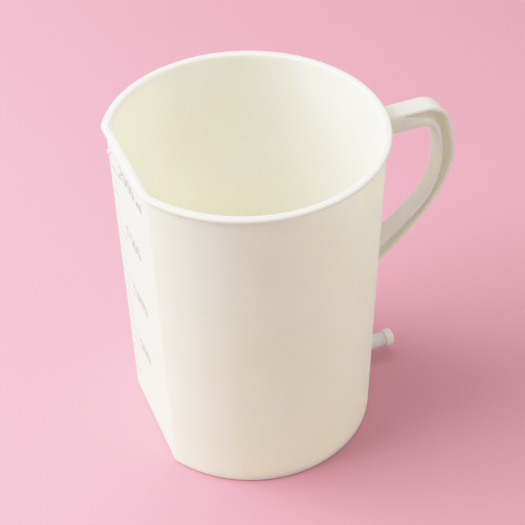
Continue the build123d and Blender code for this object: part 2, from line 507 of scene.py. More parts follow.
def islands(node: str) -> list[Box]:
    """Boxes of the separate solids in a CAD node.

    Args:
        node: Name of the node.

    Returns:
        Lowest and highest corner of each solid, lowest solid first.
    """
    work = bmesh.new()
    work.from_mesh(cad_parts[node].data)
    bmesh.ops.remove_doubles(work, verts=work.verts, dist=0.001 * MM)
    waiting = set(work.verts)
    boxes = []
    while waiting:
        group = [waiting.pop()]
        for vert in group:
            for edge in vert.link_edges:
                other = edge.other_vert(vert)
                if other in waiting:
                    waiting.remove(other)
                    group.append(other)
        low = Vector(min(vert.co[axis] for vert in group) for axis in range(3))
        high = Vector(max(vert.co[axis] for vert in group) for axis in range(3))
        boxes.append((low, high))
    work.free()
    return sorted(boxes, key=lambda box: box[0].z + box[1].z)


# ---- finishes --------------------------------------------------------------------------
class Grain(Enum):
    """How the tool that moulded a surface was finished."""

    POLISHED = 0.35
    SATIN = 1.0


@dataclass(frozen=True)
class MouldedPlastic:
    """Ivory polypropylene as it comes from the mould.

    Attributes:
        name: Name of the material.
        grain: Finish of the tool's surface.
        pale: Colour where the plastic is palest.
        warm: Colour where it is slightly yellower.
        roughness: Middle of the surface's roughness.
        wave: Depth of the slow waviness that shrinkage leaves in a wall.
        seam: Half width of a raised mould line in the plane y = 0, or 0 for none.
        seam_height: Height of that line.
        speck: Colour of the few dark specks in the plastic.
        speck_share: How much of that colour a speck shows.
        cloud_size: Size of the cloudy patches.
        streak_size: Size of the flow streaks in X, Y and Z.
        scuff_size: Size of the patches that handling has dulled.
        fine_size: Size of the fine grain.
        speck_size: Distance between places where a speck may be.
        wave_size: Length of the slow waves.
        fine_depth: Depth of the fine grain under a satin tool.
        scuff_depth: Depth of the coarser grain under a satin tool.
        bump: Strength of all relief in the shading.
        bend: Refractive index.
        glow: Share of the light that goes into the plastic.
        glow_reach: How far each colour of that light goes, as shares of glow_scale.
        glow_scale: The furthest that it goes.
    """

    name: str
    grain: Grain = Grain.SATIN
    pale: Colour = (0.93, 0.915, 0.82, 1.0)
    warm: Colour = (0.91, 0.89, 0.765, 1.0)
    roughness: float = 0.42
    wave: float = 0.10 * MM
    seam: float = 0.0
    seam_height: float = 0.06 * MM
    speck: Colour = (0.52, 0.47, 0.36, 1.0)
    speck_share: float = 0.10
    cloud_size: float = 46 * MM
    streak_size: tuple[float, float, float] = (13 * MM, 13 * MM, 120 * MM)
    scuff_size: float = 9 * MM
    fine_size: float = 0.32 * MM
    speck_size: float = 1.9 * MM
    wave_size: float = 17 * MM
    fine_depth: float = 0.012 * MM
    scuff_depth: float = 0.02 * MM
    bump: float = 0.9
    bend: float = 1.49
    glow: float = 0.85
    glow_reach: tuple[float, float, float] = (1.0, 0.94, 0.70)
    glow_scale: float = 5.0 * MM

    def material(self) -> bpy.types.Material:
        """Build the material.

        Returns:
            The node material.
        """
        made = bpy.data.materials.new(self.name)
        made.use_nodes = True
        made.node_tree.nodes.clear()
        sheet = NodeSheet(made.node_tree)
        place = sheet.term(sheet.add("ShaderNodeTexCoord", {}, {}), "Object")

        cloud = sheet.noise(place, self.cloud_size, 3.0)
        streak = sheet.noise(self._drawn_out(sheet, place), 1.0, 4.0, 0.62)
        scuff = sheet.noise(place, self.scuff_size, 6.0, 0.68)
        fine = sheet.noise(place, self.fine_size, 2.0)
        tint = sheet.ease(cloud * 0.7 + streak * 0.3, 0.34, 0.66)
        speck = sheet.ease(sheet.noise(place, self.speck_size, 1.0), 0.77, 0.83)
        colour = sheet.mix(tint, self.pale, self.warm)
        colour = sheet.mix(speck * self.speck_share, colour, self.speck)

        worn = sheet.ease(scuff, 0.52, 0.72)
        roughness = self.roughness + (cloud - 0.5) * 0.10 + worn * 0.07 + (fine - 0.5) * 0.08

        waves = sheet.noise(place, self.wave_size, 1.0) * self.wave
        fine_depth = self.fine_depth * self.grain.value
        scuff_depth = self.scuff_depth * self.grain.value
        height = waves + (fine * fine_depth + scuff * scuff_depth)
        if self.seam:
            axis = sheet.add("ShaderNodeSeparateXYZ", {}, {"Vector": place})
            line = 1.0 - sheet.ease(abs(sheet.term(axis, "Y")), 0.4 * self.seam, self.seam)
            height = height + line * self.seam_height
        relief = {"Strength": self.bump, "Distance": 1.0, "Height": height}
        bump = sheet.add("ShaderNodeBump", {}, relief)

        shader = sheet.add(
            "ShaderNodeBsdfPrincipled",
            {"subsurface_method": "RANDOM_WALK"},
            {
                "Base Color": colour,
                "Roughness": roughness,
                "IOR": self.bend,
                "Subsurface Weight": self.glow,
                "Subsurface Radius": self.glow_reach,
                "Subsurface Scale": self.glow_scale,
                "Normal": bump.outputs["Normal"],
            },
        )
        sheet.add("ShaderNodeOutputMaterial", {}, {"Surface": shader.outputs[0]})
        return made

    def _drawn_out(self, sheet: NodeSheet, place: Term) -> Term:
        """Coordinates for flow marks that are long in Z and short around the wall.

        Args:
            sheet: The material's tree.
            place: Object coordinates.

        Returns:
            The stretched coordinates.
        """
        scale = tuple(1 / size for size in self.streak_size)
        return sheet.term(sheet.add("ShaderNodeMapping", {}, {"Vector": place, "Scale": scale}))


@dataclass(frozen=True)
class PaperBackdrop:
    """Matt pink paper that the jug stands on.

    Attributes:
        name: Name of the material.
        light: Its paler colour.
        deep: Its deeper colour.
        cast_near: Colour of the light that it throws back from right under the jug.
        cast_far: Colour of the light that it throws back from further off.
        near: Distance from the jug's axis at which the near colour ends.
        far: Distance at which the far colour is reached.
        cloud_size: Size of the slow changes of colour.
        fibre_size: Size of the paper's fibres.
        fibre_depth: Depth of the fibres.
    """

    name: str = "backdrop_paper"
    light: Colour = (0.82, 0.385, 0.475, 1.0)
    deep: Colour = (0.79, 0.365, 0.45, 1.0)
    cast_near: Colour = (0.62, 0.375, 0.375, 1.0)
    cast_far: Colour = (0.43, 0.355, 0.34, 1.0)
    near: float = 70 * MM
    far: float = 240 * MM
    cloud_size: float = 240 * MM
    fibre_size: float = 0.9 * MM
    fibre_depth: float = 0.05 * MM

    def material(self) -> bpy.types.Material:
        """Build the material.

        Returns:
            The node material.
        """
        made = bpy.data.materials.new(self.name)
        made.use_nodes = True
        made.node_tree.nodes.clear()
        sheet = NodeSheet(made.node_tree)
        place = sheet.term(sheet.add("ShaderNodeTexCoord", {}, {}), "Object")
        cloud = sheet.noise(place, self.cloud_size, 2.0)
        fibre = sheet.noise(place, self.fibre_size, 3.0)
        colour = sheet.mix(cloud, self.light, self.deep)
        seen = sheet.term(sheet.add("ShaderNodeLightPath", {}, {}), "Is Camera Ray")
        distance = sheet.add("ShaderNodeVectorMath", {"operation": "LENGTH"}, {0: place})
        away = sheet.ease(sheet.term(distance, "Value"), self.near, self.far)
        cast = sheet.mix(away, self.cast_near, self.cast_far)
        colour = sheet.mix(seen, cast, colour)
        relief = {"Strength": 0.3, "Distance": 1.0, "Height": fibre * self.fibre_depth}
        bump = sheet.add("ShaderNodeBump", {}, relief)
        inputs = {
            "Base Color": colour,
            "Roughness": 0.75 + fibre * 0.1,
            "Normal": bump.outputs["Normal"],
        }
        shader = sheet.add("ShaderNodeBsdfPrincipled", {}, inputs)
        sheet.add("ShaderNodeOutputMaterial", {}, {"Surface": shader.outputs[0]})
        return made


# ---- cup -------------------------------------------------------------------------------
@dataclass
class CupBody:
    """Foot ring, floor, drafted wall, flat panel and rim bead as one continuous skin.

    Attributes:
        wall: Thickness of the wall.
        wall_draft: Lean of the round wall, in degrees.
        panel_draft: Lean of the flat, in degrees.
        wall_corner: Radius in plan between the round wall and the flat.
        rim_corner: The same for the outside of the bead.
        rim_edge: Radius of the bead's edges.
        under_rim: Radius of the hollow corner under the bead.
        cove: Radius inside, between wall and floor.
        foot_width: Width of the ring that the jug stands on.
        foot_edge: Radius of the ring's outer edge.
        foot_break: Radius of the ring's inner edges.
        hold: Distance of the extra rows that keep flat faces flat beside a rounded edge.
        round_steps: Points along half of the round wall.
        corner_steps: Points round one upright corner.
        flat_steps: Points along half of the flat.
        wall_rows: Rows of faces up each side of the wall.
        crowding: How much closer together the rows are low down.
        floor_shares: Rings of the floor and the underside, as shares of the way out.
        bore_steps: Points round the hole for the outlet.
        rim_high: Highest corner of the CAD bead.
        wall_high: Highest corner of the CAD wall.
        panel_low: Lowest corner of the CAD panel.
        floor_box: Lowest and highest corner of the CAD floor.
    """

    wall: float = 1.8 * MM
    wall_draft: float = 0.74
    panel_draft: float = 1.15
    wall_corner: float = 3.5 * MM
    rim_corner: float = 6.0 * MM
    rim_edge: float = 1.1 * MM
    under_rim: float = 0.45 * MM
    cove: float = 3.0 * MM
    foot_width: float = 4.2 * MM
    foot_edge: float = 1.5 * MM
    foot_break: float = 0.25 * MM
    hold: float = 0.25 * MM
    round_steps: int = 84
    corner_steps: int = 8
    flat_steps: int = 16
    wall_rows: int = 26
    crowding: float = 1.35
    floor_shares: tuple[float, ...] = (0.0, 0.1, 0.25, 0.4, 0.55, 0.7, 0.85, 0.96)
    bore_steps: int = 40

    rim_high: Vector = field(default_factory=lambda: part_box("rim_bead")[1])
    wall_high: Vector = field(default_factory=lambda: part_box("cup_wall")[1])
    panel_low: Vector = field(default_factory=lambda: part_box("scale_panel")[0])
    floor_box: Box = field(default_factory=lambda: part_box("floor"))

    @property
    def wall_top(self) -> float:
        """Height at which the wall meets the bead."""
        return self.wall_high.z

    @property
    def top_radius(self) -> float:
        """Outer radius of the round wall right under the bead."""
        return self.wall_high.y

    @property
    def panel_distance(self) -> float:
        """Distance of the flat from the axis right under the bead."""
        return -self.panel_low.x

    @property
    def rim_overhang(self) -> float:
        """How far the bead stands out past the wall."""
        return self.rim_high.y - self.top_radius

    def wall_radius(self, height: float) -> float:
        """Outer radius of the round wall at a height."""
        slope = math.tan(math.radians(self.wall_draft))
        return self.top_radius - (self.wall_top - height) * slope

    def profile(self) -> list[tuple[float, float, float]]:
        """Section of the skin, from the middle of the floor over the rim to the underside's middle.

        Returns:
            Inset from the outer wall, height and share of the way out, for each point.
        """
        under, on_floor = self.floor_box[0].z, self.floor_box[1].z
        top = self.rim_high.z
        edge, cove, hollow, foot = self.rim_edge, self.cove, self.under_rim, self.foot_edge
        inner, outer = self.wall, -self.rim_overhang
        ground, recess = self.foot_width - self.foot_break, self.foot_width + self.foot_break

        line = arc((inner + cove, on_floor + cove), cove, 270, 180, 7)
        inside = self._rows(on_floor + cove + self.hold, top - edge - self.hold)
        line += [(inner, z) for z in inside]
        line += arc((inner - edge, top - edge), edge, 0, 90, 5)
        line.append((0.5 * (inner + outer), top))
        line += arc((outer + edge, top - edge), edge, 90, 180, 5)
        line += arc((outer + edge, self.wall_top + edge), edge, 180, 270, 5)
        line += arc((-hollow, self.wall_top - hollow), hollow, 90, 0, 4)
        outside = self._rows(foot + self.hold, self.wall_top - hollow - self.hold)
        line += [(0.0, z) for z in reversed(outside)]
        line += arc((foot, foot), foot, 180, 270, 6)
        line.append((foot + self.hold, 0.0))
        line += arc((ground, self.foot_break), self.foot_break, 270, 360, 3)
        line += arc((recess, under - self.foot_break), self.foot_break, 180, 90, 3)

        section = [(inner + cove, on_floor, share) for share in self.floor_shares]
        section += [(x, z, 1.0) for x, z in line]
        section += [(recess, under, share) for share in reversed(self.floor_shares)]
        return section

    def _rows(self, low: float, high: float) -> list[float]:
        """Heights of a wall's rows, closer together low down, where the outlet's bore goes through.

        Args:
            low: Lowest row.
            high: Highest row.

        Returns:
            The heights, rising.
        """
        shares = [(step / self.wall_rows) ** self.crowding for step in range(self.wall_rows + 1)]
        return [low + (high - low) * share for share in shares]

    def _corner_at(self, inset: float) -> float:
        """Radius in plan of the upright corner at an inset from the outer wall."""
        share = min(1.0, max(0.0, -inset / self.rim_overhang))
        return self.wall_corner + share * (self.rim_corner - self.wall_corner)

    def recipe(self, material: bpy.types.Material) -> GeometryRecipe:
        """Tree that carries the section round the jug's D-shaped plan.

        Args:
            material: Finish of the skin.

        Returns:
            The tree.
        """
        half = self.round_steps + self.corner_steps + self.flat_steps
        tree = GeometryRecipe("cup_skin")
        steps = tree.size("Steps round", 2 * half)
        round_share = tree.size("Round share", self.round_steps / half)
        corner_share = tree.size("Corner share", (self.round_steps + self.corner_steps) / half)
        top_radius = tree.size("Top radius", self.top_radius)
        panel_distance = tree.size("Panel distance", self.panel_distance)
        wall_top = tree.size("Wall top", self.wall_top)
        wall_slope = tree.size("Wall slope", math.tan(math.radians(self.wall_draft)))
        panel_slope = tree.size("Panel slope", math.tan(math.radians(self.panel_draft)))
        finish = tree.size("Finish", material)

        circle = {"Resolution": steps, "Radius": top_radius}
        ring = tree.add("GeometryNodeCurvePrimitiveCircle", {}, circle)
        place = tree.term(tree.add("GeometryNodeInputIndex", {}, {}))
        marked = tree.add(
            "GeometryNodeStoreNamedAttribute",
            {"data_type": "FLOAT", "domain": "POINT"},
            {"Geometry": ring.outputs[0], "Name": "turn", "Value": place * 2.0 / steps - 1.0},
        )
        section = tree.add("GeometryNodeMeshToCurve", {}, {"Mesh": tree.geometry})
        curves = {"Curve": marked.outputs[0], "Profile Curve": section.outputs[0]}
        swept = tree.add("GeometryNodeCurveToMesh", {}, curves)

        inset = tree.named("inset")
        height = tree.named("height")
        share = tree.named("share")
        corner = tree.named("corner")
        turn = tree.named("turn")
        drop = (wall_top - height).at_least(0.0)
        radius = top_radius - drop * wall_slope - inset
        flat = panel_distance - drop * panel_slope - inset
        centre_x = corner - flat
        centre_y = ((radius - corner) ** 2.0 - centre_x ** 2.0) ** 0.5
        lean = tree.maths("ARCTAN2", centre_y, centre_x)
        along = abs(turn)
        round_angle = lean * (along / round_share).clamped()
        corner_run = ((along - round_share) / (corner_share - round_share)).clamped()
        corner_angle = lean + (math.pi - lean) * corner_run
        flat_run = ((along - corner_share) / (1.0 - corner_share)).clamped()
        on_round = along.below(round_share + 1e-4)
        round_x = radius * tree.maths("COSINE", round_angle)
        round_y = radius * tree.maths("SINE", round_angle)
        other_x = centre_x + corner * tree.maths("COSINE", corner_angle)
        other_y = (centre_y + corner * tree.maths("SINE", corner_angle)) * (1.0 - flat_run)
        plan_x = (on_round * round_x + (1.0 - on_round) * other_x) * share
        side = tree.maths("SIGN", turn)
        plan_y = (on_round * round_y + (1.0 - on_round) * other_y) * share * side
        target = {"Geometry": swept.outputs[0], "Position": tree.vector(plan_x, plan_y, height)}
        moved = tree.add("GeometryNodeSetPosition", {}, target)
        doubles = {"Geometry": moved.outputs[0], "Distance": 0.002 * MM}
        merged = tree.add("GeometryNodeMergeByDistance", {}, doubles)
        tree.finish(tree.term(merged), finish)
        return tree

    def build(
        self, material: bpy.types.Material, bore: float, bore_height: float
    ) -> bpy.types.Object:
        """Make the cup's skin and drill the outlet's bore through its wall.

        Args:
            material: Its finish.
            bore: Radius of the bore.
            bore_height: Height of the bore's axis.

        Returns:
            The piece.
        """
        section = self.profile()
        start = mesh_of(
            "cup_section",
            [(inset, 0.0, height) for inset, height, _ in section],
            [(number, number + 1) for number in range(len(section) - 1)],
            (),
        )
        columns = {
            "inset": [row[0] for row in section],
            "height": [row[1] for row in section],
            "share": [row[2] for row in section],
            "corner": [self._corner_at(row[0]) for row in section],
        }
        for name, values in columns.items():
            start.attributes.new(name, "FLOAT", "POINT").data.foreach_set("value", values)
        piece = self.recipe(material).run("cup_body", start)
        turned_outwards(piece.data)
        self._drill(piece, bore, bore_height)
        for name in (*columns, "turn"):
            attribute = piece.data.attributes.get(name)
            if attribute:
                piece.data.attributes.remove(attribute)
        return join_jug(piece, "cup_wall", "scale_panel", "floor", "foot_ring", "rim_bead")

    def _drill(self, piece: bpy.types.Object, radius: float, height: float) -> None:
        """Cut a round hole through the wall under the handle.

        Args:
            piece: The cup's skin.
            radius: Radius of the hole.
            height: Height of its axis.
        """
        reach = self.wall_radius(height)
        circle = arc((0.0, height), radius, 0, 360, self.bore_steps)[:-1]
        ends = (reach - 3 * self.wall, reach + self.wall)
        rings = [[Vector((x, y, z)) for y, z in circle] for x in ends]
        cutter = bpy.data.objects.new("bore_cutter", lofted("bore_cutter", rings))
        bpy.context.scene.collection.objects.link(cutter)
        modifier = piece.modifiers.new("bore", "BOOLEAN")
        modifier.object = cutter
        modifier.operation = "DIFFERENCE"
        modifier.solver = "EXACT"
        evaluated = piece.evaluated_get(bpy.context.evaluated_depsgraph_get())
        drilled = bpy.data.meshes.new_from_object(evaluated)
        piece.modifiers.remove(modifier)
        bpy.data.objects.remove(cutter)
        piece.data = drilled
        drilled.name = piece.name


# ---- handle ----------------------------------------------------------------------------
class Outline:
    """Line in the XZ plane that leaves level, bends down in one arc and runs on as a spline."""

    SLOPE_ROUNDS = 60
    SEARCH_ROUNDS = 40

    def __init__(self, points: Sequence[Point2]) -> None:
        """Fit the line to its points.

        Args:
            points: Points that it goes through; the first run is the arc.
        """
        self.points = [Vector(point) for point in points]
        start, bend_end = self.points[0], self.points[1]
        across = bend_end.x - start.x
        down = start.y - bend_end.y
        self.bend_radius = (across * across + down * down) / (2 * down)
        self.bend_angle = math.asin(across / self.bend_radius)
        if down > self.bend_radius:
            self.bend_angle = math.pi - self.bend_angle
        first = Vector((math.cos(self.bend_angle), -math.sin(self.bend_angle)))
        last = (self.points[-1] - self.points[-2]).normalized()
        self.slopes = self._slopes(self.points[1:], first, last)

    def _slopes(self, points: Sequence[Vector], first: Vector, last: Vector) -> list[Vector]:
        """Slopes at the points of a cubic spline that bends evenly through them.

        Args:
            points: The points.
            first: Slope at the first.
            last: Slope at the last.

        Returns:
            A slope for each point.
        """
        runs = [(after - before).length for before, after in zip(points, points[1:])]
        slopes = [first] + [first.lerp(last, 0.5) for _ in points[2:]] + [last]
        for _ in range(self.SLOPE_ROUNDS):
            for place in range(1, len(points) - 1):
                before, after = runs[place - 1], runs[place]
                left = (points[place] - points[place - 1]) / (before * before)
                right = (points[place + 1] - points[place]) / (after * after)
                known = 3 * (left + right) - slopes[place - 1] / before - slopes[place + 1] / after
                slopes[place] = known / (2 / before + 2 / after)
        return slopes

    def at(self, run: int, share: float) -> Vector:
        """A point on the line.

        Args:
            run: Number of the stretch between two points.
            share: How far along that stretch.

        Returns:
            The point.
        """
        if run == 0:
            angle = share * self.bend_angle
            start = self.points[0]
            offset = Vector((math.sin(angle), math.cos(angle) - 1)) * self.bend_radius
            return start + offset
        start, end = self.points[run], self.points[run + 1]
        length = (end - start).length
        square, cube = share * share, share**3
        return (
            start * (2 * cube - 3 * square + 1)
            + self.slopes[run - 1] * ((cube - 2 * square + share) * length)
            + end * (3 * square - 2 * cube)
            + self.slopes[run] * ((cube - square) * length)
        )

    def reaching(self, x: float) -> float:
        """How far along the last stretch the line comes back to a distance from the axis.

        Args:
            x: The distance.

        Returns:
            The share of the stretch.
        """
        low, high = 0.0, 1.0
        for _ in range(self.SEARCH_ROUNDS):
            middle = 0.5 * (low + high)
            if self.at(len(self.points) - 2, middle).x > x:
                low = middle
            else:
                high = middle
        return low


@dataclass
class StrapHandle:
    """Strap of I-section, with a recess in each side that starts as a point on the top arm.

    Attributes:
        height: Top of the arm down to the lower arm's root.
        edge: Radius of the long edges.
        arm_depth: Height of the top arm.
        outer_flange: Thickness of the outer flange.
        inner_flange: Thickness of the inner flange at the arm and at each point of inner_shares.
        web: Thickness between the recesses.
        recess_start: Tip of the recess, as a share of the reach.
        recess_ease: Length over which the recess reaches its full depth.
        recess_least: Height of the recess at its tip.
        lip: Radius of the recess's edges.
        root_flare: How much the strap widens where it meets the wall.
        root_run: Distance over which it does so.
        in_wall: How far the strap's ends go into the wall.
        outer_shares: Outer outline, as shares of the reach and of the height.
        inner_shares: Inner outline, from the second point on.
        steps: Sections on each stretch of the outline.
        root_crowding: How much closer together the last stretch's sections are at the wall.
        arm_steps: Sections of the top arm beyond its root.
        arm_root: Sections of its root, as shares of root_run.
        edge_most: Most of a flange's thickness that one of its edges may take.
        lip_most: Most of the inner flange's thickness, or of the recess's height, for a lip.
        recess_corner: Radius of the recess's inner corners.
        corner_cut: Share of a corner's radius at which its middle point lies, in from both faces.
        hold: Distance of the points that keep a face flat beside an edge.
        lip_hold: The same beside a lip.
    """

    height: float = 96.0 * MM
    edge: float = 0.9 * MM
    arm_depth: float = 11.0 * MM
    outer_flange: float = 2.2 * MM
    inner_flange: tuple[float, ...] = (5.2 * MM, 2.4 * MM, 1.7 * MM, 1.4 * MM, 1.3 * MM, 1.3 * MM)
    web: float = 3.2 * MM
    recess_start: float = 0.33
    recess_ease: float = 2.5 * MM
    recess_least: float = 0.8 * MM
    lip: float = 0.35 * MM
    root_flare: float = 0.7 * MM
    root_run: float = 1.8 * MM
    in_wall: float = 0.9 * MM
    outer_shares: tuple[Point2, ...] = (
        (0.593, 0.0), (0.905, 0.109), (1.0, 0.323), (0.853, 0.581), (0.502, 0.808), (-0.13, 1.104),
    )
    inner_shares: tuple[Point2, ...] = (
        (0.763, 0.200), (0.810, 0.385), (0.718, 0.569), (0.377, 0.756), (-0.13, 0.969),
    )
    steps: tuple[int, ...] = (16, 12, 14, 14, 22)
    root_crowding: float = 1.4
    arm_steps: int = 30
    arm_root: tuple[float, ...] = (-0.5, 0.0, 0.12, 0.28, 0.5, 0.75, 1.0)
    edge_most: float = 0.42
    lip_most: float = 0.3
    recess_corner: float = 0.55 * MM
    corner_cut: float = 0.3
    hold: float = 0.2 * MM
    lip_hold: float = 0.1 * MM

    def sections(self, cup: CupBody) -> list[list[Vector]]:
        """Closed sections of the strap from the top arm's root to the lower arm's.

        Args:
            cup: The cup that the strap is moulded to.

        Returns:
            The rings.
        """
        outer_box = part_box("handle_outer_flange")
        top = outer_box[1].z
        width = outer_box[1].y - outer_box[0].y
        wall_x = cup.top_radius
        reach = outer_box[1].x - wall_x
        outer_points, inner_points = (
            [(wall_x + x * reach, top - z * self.height) for x, z in shares]
            for shares in (self.outer_shares, self.inner_shares)
        )
        arm_end = outer_points[0][0]
        inner_points.insert(0, (arm_end - self.arm_depth / 4, top - self.arm_depth))
        outer, inner = Outline(outer_points), Outline(inner_points)
        tip = wall_x + self.recess_start * reach
        arm_recess = self.arm_depth - self.outer_flange - self.inner_flange[0]

        rings = []
        for x in self._arm_places(cup.wall_radius(top - self.arm_depth / 2), arm_end):
            share = (x - tip) / (arm_end - tip)
            depth = eased((x - tip) / self.recess_ease)
            tall = max(self.recess_least, arm_recess * share)
            across = x - (x - wall_x) * (self.arm_depth / 4) / (arm_end - wall_x)
            flange = self.arm_depth - self.outer_flange - tall
            start, end = Vector((x, top)), Vector((across, top - self.arm_depth))
            rings.append(self._ring(start, end, width, flange, depth, cup))
        for run, count in enumerate(self.steps):
            last = run == len(self.steps) - 1
            stop_outer = outer.reaching(self._root_x(cup, outer_points[-1][1])) if last else 1.0
            stop_inner = inner.reaching(self._root_x(cup, inner_points[-1][1])) if last else 1.0
            for step in range(1, count + 1):
                share = step / count
                if last:
                    share = 1 - (1 - share) ** self.root_crowding
                flange = self.inner_flange[run] * (1 - share) + self.inner_flange[run + 1] * share
                start, end = outer.at(run, share * stop_outer), inner.at(run, share * stop_inner)
                rings.append(self._ring(start, end, width, flange, 1.0, cup))
        return rings

    def _root_x(self, cup: CupBody, height: float) -> float:
        """Distance from the axis at which the strap's lower end stops inside the wall."""
        return cup.wall_radius(height) - self.in_wall

    def _arm_places(self, wall_x: float, end: float) -> list[float]:
        """Places of the top arm's sections, close together at the wall and at the recess's tip.

        Args:
            wall_x: Where the arm meets the wall.
            end: Where the arm starts to bend.

        Returns:
            Distances from the axis.
        """
        root = [wall_x + self.root_run * share for share in self.arm_root]
        count = self.arm_steps
        return root + [root[-1] + (end - root[-1]) * step / count for step in range(1, count + 1)]

    def _ring(
        self, start: Vector, end: Vector, width: float, flange: float, depth: float, cup: CupBody
    ) -> list[Vector]:
        """One section of the strap.

        Args:
            start: Its outermost point, in the XZ plane.
            end: Its innermost point.
            width: Width of the strap.
            flange: Thickness of the inner flange here.
            depth: Share of the recess's full depth here.
            cup: The cup, whose wall the strap widens towards.

        Returns:
            The ring of points.
        """
        middle = (start + end) / 2
        clear = middle.x - cup.wall_radius(middle.y)
        flare = self.root_flare * max(0.0, 1 - max(0.0, clear) / self.root_run) ** 2
        inwards = (end - start).normalized()
        start, end = start - inwards * flare, end + inwards * flare
        thick = (end - start).length
        half = width / 2 + flare
        near = self.outer_flange + flare
        far = thick - flange - flare
        outer_edge = min(self.edge, self.edge_most * near)
        inner_edge = min(self.edge, self.edge_most * (thick - far))
        inner_lip = min(self.lip, self.lip_most * (thick - far))
        root = min(self.recess_corner, self.lip_most * (far - near))
        lip_cut, inner_cut = self.lip * self.corner_cut, inner_lip * self.corner_cut
        root_cut = self.corner_cut * root
        sunk = (half - self.web / 2) * depth
        bottom = half - sunk
        corner, corner_start = half - max(0.0, sunk - root_cut), half - max(0.0, sunk - root)

        side = [(half * 0.5, 0.0), (half - outer_edge - self.hold, 0.0)]
        side += arc((half - outer_edge, outer_edge), outer_edge, 270, 360, 4)
        side += [(half, near - self.lip - self.lip_hold)]
        side += [(half - lip_cut * depth, near - lip_cut), (half - self.lip * depth, near)]
        side += [(corner_start, near + self.lip_hold * depth)]
        side += [(corner, near + root_cut), (bottom, near + root)]
        side += [(bottom, (near + far) / 2)]
        side += [(bottom, far - root), (corner, far - root_cut)]
        side += [(corner_start, far - self.lip_hold * depth)]
        side += [(half - inner_lip * depth, far), (half - inner_cut * depth, far + inner_cut)]
        side += [(half, far + inner_lip + self.lip_hold / 2)]
        side += arc((half - inner_edge, thick - inner_edge), inner_edge, 0, 90, 4)
        side += [(half - inner_edge - self.hold, thick), (half * 0.5, thick)]
        loop = [(0.0, 0.0), *side, (0.0, thick), *((-y, n) for y, n in reversed(side))]
        return [Vector((start.x + inwards.x * n, y, start.y + inwards.y * n)) for y, n in loop]

    def build(self, material: bpy.types.Material, cup: CupBody) -> bpy.types.Object:
        """Make the strap.

        Args:
            material: Its finish.
            cup: The cup that it is moulded to.

        Returns:
            The piece.
        """
        mesh = lofted("handle_strap", self.sections(cup))
        piece = placed_piece("handle_strap", mesh, material)
        nodes = ("handle_upper_root", "handle_outer_flange", "handle_web", "handle_inner_flange")
        return join_jug(piece, *nodes)


# ---- hose outlet -----------------------------------------------------------------------
@dataclass
class HoseOutlet:
    """Bored shank with a rounded lip that holds a pushed-on hose.

    Attributes:
        bore: Radius of the bore.
        lip_edge: Radius of the lip's edges.
        root: Radius of the hollow corner at the wall.
        in_wall: How far the shank goes into the wall.
        around: Points round the axis.
        neck_round: Radius of the hollow corner behind the lip.
        mouth_round: Radius of the bore's edge.
        clearance: How much further than the bore's radius the wall is cut away.
    """

    bore: float = 2.5 * MM
    lip_edge: float = 0.9 * MM
    root: float = 1.3 * MM
    in_wall: float = 1.0 * MM
    around: int = 72
    neck_round: float = 0.25 * MM
    mouth_round: float = 0.3 * MM
    clearance: float = 0.12 * MM

    @property
    def axis_height(self) -> float:
        """Height of the bore's axis."""
        low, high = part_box("outlet_lip")
        return (low.z + high.z) / 2

    def section(self, wall_x: float) -> list[Point2]:
        """Closed section on one side of the axis.

        Args:
            wall_x: Distance of the wall's face from the jug's axis.

        Returns:
            Distance along the outlet and radius, for each point.
        """
        lip_low, lip_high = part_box("outlet_lip")
        shank_low, shank_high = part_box("outlet_shank")
        lip, shank = (lip_high.y - lip_low.y) / 2, (shank_high.y - shank_low.y) / 2
        end, neck = lip_high.x, lip_low.x
        edge, neck_round, mouth = self.lip_edge, self.neck_round, self.mouth_round
        foot = wall_x + self.root
        points = [(wall_x - self.in_wall, shank + self.root)]
        points += arc((foot, shank + self.root), self.root, 180, 270, 6)
        flats = (foot + mouth, (wall_x + neck) / 2, neck - 2 * neck_round)
        points += [(x, shank) for x in flats]
        points += arc((neck - neck_round, shank + neck_round), neck_round, 270, 360, 3)[1:]
        points += arc((neck + edge, lip - edge), edge, 180, 90, 6)
        points += [((neck + end) / 2, lip)]
        points += arc((end - edge, lip - edge), edge, 90, 0, 6)
        points += [(end, self.bore + 1.5 * mouth)]
        points += arc((end - mouth, self.bore + mouth), mouth, 0, -90, 3)
        points += [((wall_x + end) / 2, self.bore), (wall_x - self.in_wall, self.bore)]
        return points

    def build(self, material: bpy.types.Material, cup: CupBody) -> bpy.types.Object:
        """Turn the section round its axis.

        Args:
            material: Its finish.
            cup: The cup whose wall it stands out of.

        Returns:
            The piece.
        """
        axis = self.axis_height
        section = self.section(cup.wall_radius(axis))
        rings = []
        for step in range(self.around):
            angle = math.tau * step / self.around
            across, up = math.sin(angle), math.cos(angle)
            ring = [Vector((x, radius * across, axis + radius * up)) for x, radius in section]
            rings.append(ring)
        mesh = lofted("hose_outlet", rings, closed_path=True)
        return join_jug(placed_piece("hose_outlet", mesh, material), "outlet_shank", "outlet_lip")


